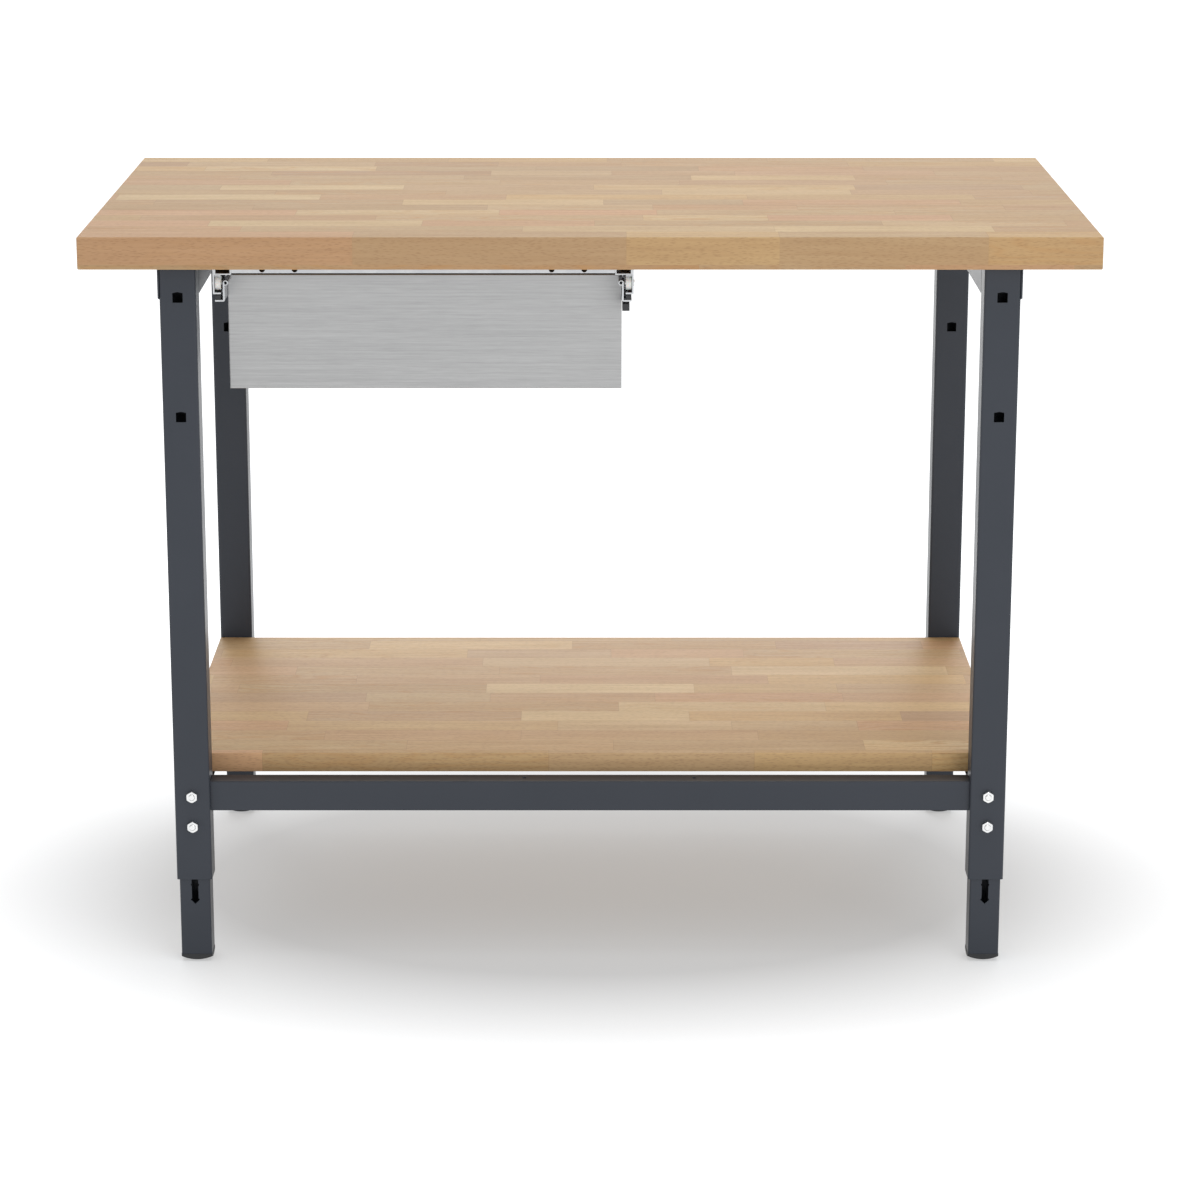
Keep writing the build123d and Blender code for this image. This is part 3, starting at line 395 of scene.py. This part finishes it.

# %% [markdown]
# ## Finishes for the CAD parts
# The imported record names a material slot for each node. A table from slot to finish dresses every
# CAD part in one pass, so no part is forgotten. The shelf gets a finish of its own: a brighter copy of the
# top's beech, which is painted light for the shade it lies in under the top.

# %% Dress the CAD nodes
FINISH_OF_SLOT = {
    "beech": beech_top,
    "powder_coat": anthracite,
    "stainless": stainless,
    "steel_tray": plated_sheet,
    "zinc_sheet": plated_sheet,
    "zinc_fastener": plated_fastener,
    "nylon": nylon,
    "black_plastic": black_plastic,
    "black_rubber": black_rubber,
}


def dress(thing, material):
    """Give a whole piece one finish."""
    thing.data.materials.clear()
    thing.data.materials.append(material)


for entry in frame["record"]["subparts"]:
    dress(frame["nodes"][entry["node"]], FINISH_OF_SLOT[entry["material_slot"]])
dress(frame["nodes"]["shelf"], beech_shelf)

# %% [markdown]
# ## Boards with eased edges
# A planed board is never left sharp: its edges are rounded over by a millimetre or two. The board
# starts as a cube, is scaled to the CAD board's box, and its edges are bevelled in three steps,
# which catches a thin line of light all round.

# %% Worktop and shelf
def piece_from(bm, name, material, body="bench"):
    """Turn a bmesh into a finished piece that rides on a body."""
    mesh = bpy.data.meshes.new(name)
    bm.to_mesh(mesh)
    bm.free()
    made = bpy.data.objects.new(name, mesh)
    bpy.context.scene.collection.objects.link(made)
    mesh.materials.append(material)
    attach(made, body)
    return made


def eased_board(name, node, material, radius):
    low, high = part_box(node)
    size = high - low
    bm = bmesh.new()
    bmesh.ops.create_cube(bm, size=1.0)
    bmesh.ops.scale(bm, vec=size, verts=bm.verts)
    bmesh.ops.translate(bm, vec=(low + high) / 2, verts=bm.verts)
    bmesh.ops.bevel(bm, geom=bm.edges[:], offset=radius, segments=3, profile=0.5, affect="EDGES",
                    material=-1)
    board = piece_from(bm, name, material)
    for face in board.data.polygons:
        face.use_smooth = True
    board.data.set_sharp_from_angle(angle=math.radians(40))
    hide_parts(node)
    print(name, "is", [round(v, 4) for v in size], "m")


eased_board("worktop_board", "worktop", beech_top, 1.6 * MM)
eased_board("shelf_board", "shelf", beech_shelf, 1.2 * MM)

# %% [markdown]
# ## Weld beads
# Each end frame is welded before it is coated: the lower beam to the inner faces of its two legs,
# and the skirt of the top beam to the sides of the legs. A weld is laid drop by drop, so a bead is
# a row of overlapping, flattened drops along its seam.

# %% Weld beads
WEB_BEAD = 2.1 * MM
UNDER_BEAD = 1.9 * MM
SKIRT_BEAD = 1.5 * MM


def bead(bm, start, end, radius, spacing=1.6 * MM):
    """Drops of weld metal from start to end, flattened along the seam."""
    seam = Vector(end) - Vector(start)
    count = max(2, round(seam.length / spacing))
    turn = seam.to_track_quat("Z", "Y").to_matrix().to_4x4()
    squash = Matrix.Diagonal((1.0, 1.0, 0.75, 1.0))
    for step in range(count + 1):
        place = Matrix.Translation(Vector(start) + seam * step / count)
        size = radius * (0.92 + 0.08 * math.sin(2.4 * step))
        bmesh.ops.create_uvsphere(bm, u_segments=12, v_segments=8, radius=size, matrix=place @ turn @ squash)


def end_frame_welds(side):
    """Beads of one end frame; side is left or right."""
    beam_low, beam_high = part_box(f"lower_beam_{side}")
    skirt_low, skirt_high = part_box(f"top_beam_{side}")
    outward = -1 if side == "left" else 1
    web = beam_low.x if side == "left" else beam_high.x
    flange_edge = beam_high.x if side == "left" else beam_low.x
    skirt = skirt_low.x if side == "left" else skirt_high.x
    bm = bmesh.new()
    for leg, leg_face in (("front", beam_low.y), ("rear", beam_high.y)):
        low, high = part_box(f"upper_leg_{leg}_{side}")
        inset = 3.0 * MM
        bead(bm, (web, leg_face, beam_low.z + inset), (web, leg_face, beam_high.z - inset), WEB_BEAD)
        seam_start = (web - outward * inset, leg_face, beam_low.z)
        seam_end = (flange_edge + outward * inset, leg_face, beam_low.z)
        bead(bm, seam_start, seam_end, UNDER_BEAD)
        seam_x = skirt - outward * 1.6 * MM
        bead(bm, (seam_x, low.y + inset, skirt_low.z), (seam_x, high.y - inset, skirt_low.z), SKIRT_BEAD)
    made = piece_from(bm, f"welds_{side}", anthracite)
    for face in made.data.polygons:
        face.use_smooth = True
    print(made.name, len(made.data.polygons), "faces")


for side in ("left", "right"):
    end_frame_welds(side)

# %% [markdown]
# ## Floor, light and camera
# The studio is a white room: an even white world, a pale floor and four soft panels. The key hangs
# overhead, a wide panel behind the bench brightens the boards, a low strip behind it lights the
# underside of the slides, and a panel in front fills the drawer's face. The floor is no lamp but glows,
# which is painted light: it glows more the further it lies from the bench, so it fades to white, and
# its dimmer glow near the bench is painted shade that keeps the shadow under the bench.

# %% Floor
def studio_floor():
    bm = bmesh.new()
    bmesh.ops.create_grid(bm, x_segments=1, y_segments=1, size=30.0)
    mesh = bpy.data.meshes.new("studio_floor")
    bm.to_mesh(mesh)
    bm.free()
    floor = bpy.data.objects.new("studio_floor", mesh)
    bpy.context.scene.collection.objects.link(floor)
    material, tree, shader = new_finish("floor_paint_and_glow")
    point = add(tree, "ShaderNodeTexCoord").outputs["Object"]
    drift = noise(tree, point, 1.5, 2.0)
    colour = ramp(tree, drift, [(0.3, (0.41, 0.42, 0.43)), (0.7, (0.42, 0.43, 0.44))])
    tree.links.new(colour, shader.inputs["Base Color"])
    shader.inputs["Roughness"].default_value = 0.9
    shader.inputs["Specular IOR Level"].default_value = 0.0
    shader.inputs["Emission Color"].default_value = (1.0, 1.0, 1.0, 1.0)
    oval = stretched(tree, point, (1.25, 1.75, 0.0))
    away = add(tree, "ShaderNodeVectorMath", {0: oval}, operation="LENGTH").outputs["Value"]
    # Painted glow: the floor emits light, weak near the bench and strong further away, so the floor fades to
    # white and the dimmer glow paints shade round the bench.
    tree.links.new(remap(tree, away, 0.65, 1.35, 0.28, 0.90), shader.inputs["Emission Strength"])
    mesh.materials.append(material)


studio_floor()
print("floor laid")

# %% Light
world = bpy.data.worlds.new("white_room")
bpy.context.scene.world = world
world.use_nodes = True
world.node_tree.nodes["Background"].inputs["Color"].default_value = (1.0, 1.0, 1.0, 1.0)
world.node_tree.nodes["Background"].inputs["Strength"].default_value = 0.75
bpy.context.scene.view_settings.view_transform = "Standard"


def area_light(name, place, target, size, power):
    data = bpy.data.lights.new(name, "AREA")
    data.shape = "RECTANGLE"
    data.size, data.size_y = size
    data.energy = power
    lamp = bpy.data.objects.new(name, data)
    lamp.location = place
    lamp.rotation_euler = (Vector(target) - Vector(place)).to_track_quat("-Z", "Y").to_euler()
    lamp.visible_camera = False
    bpy.context.scene.collection.objects.link(lamp)


area_light("key", (0.4, -1.2, 3.8), (0.0, 0.0, 0.4), (1.8, 1.8), 20.0)
area_light("back_panel", (0.0, 3.0, 2.9), (0.0, 0.0, 0.3), (4.5, 2.4), 60.0)
area_light("low_back_panel", (0.0, 2.2, 0.72), (0.0, 0.0, 0.3), (3.0, 0.34), 12.0)
area_light("front_panel", (2.2, -4.4, 2.0), (0.2, 0.0, 0.6), (3.0, 1.4), 45.0)
print("white world and four soft panels")

# %% [markdown]
# ## Camera
# The view is a catalogue view: straight on, from 4.4 m in front of the worktop's edge and from
# standing eye height, through a long lens. The camera looks down at the bench by the angle below.

# %% Camera
EYE = Vector((0.0, -4.732, 1.650))
LOOK_DOWN = math.radians(14.84)
LENS = 109.0

data = bpy.data.cameras.new("catalogue_view")
data.sensor_width = 36.0
data.lens = LENS
data.shift_x = 0.0083
camera = bpy.data.objects.new("catalogue_view", data)
camera.location = EYE
camera.rotation_euler = (math.pi / 2 - LOOK_DOWN, 0.0, 0.0)
bpy.context.scene.collection.objects.link(camera)
bpy.context.scene.camera = camera
print("camera at", tuple(round(v, 3) for v in EYE))
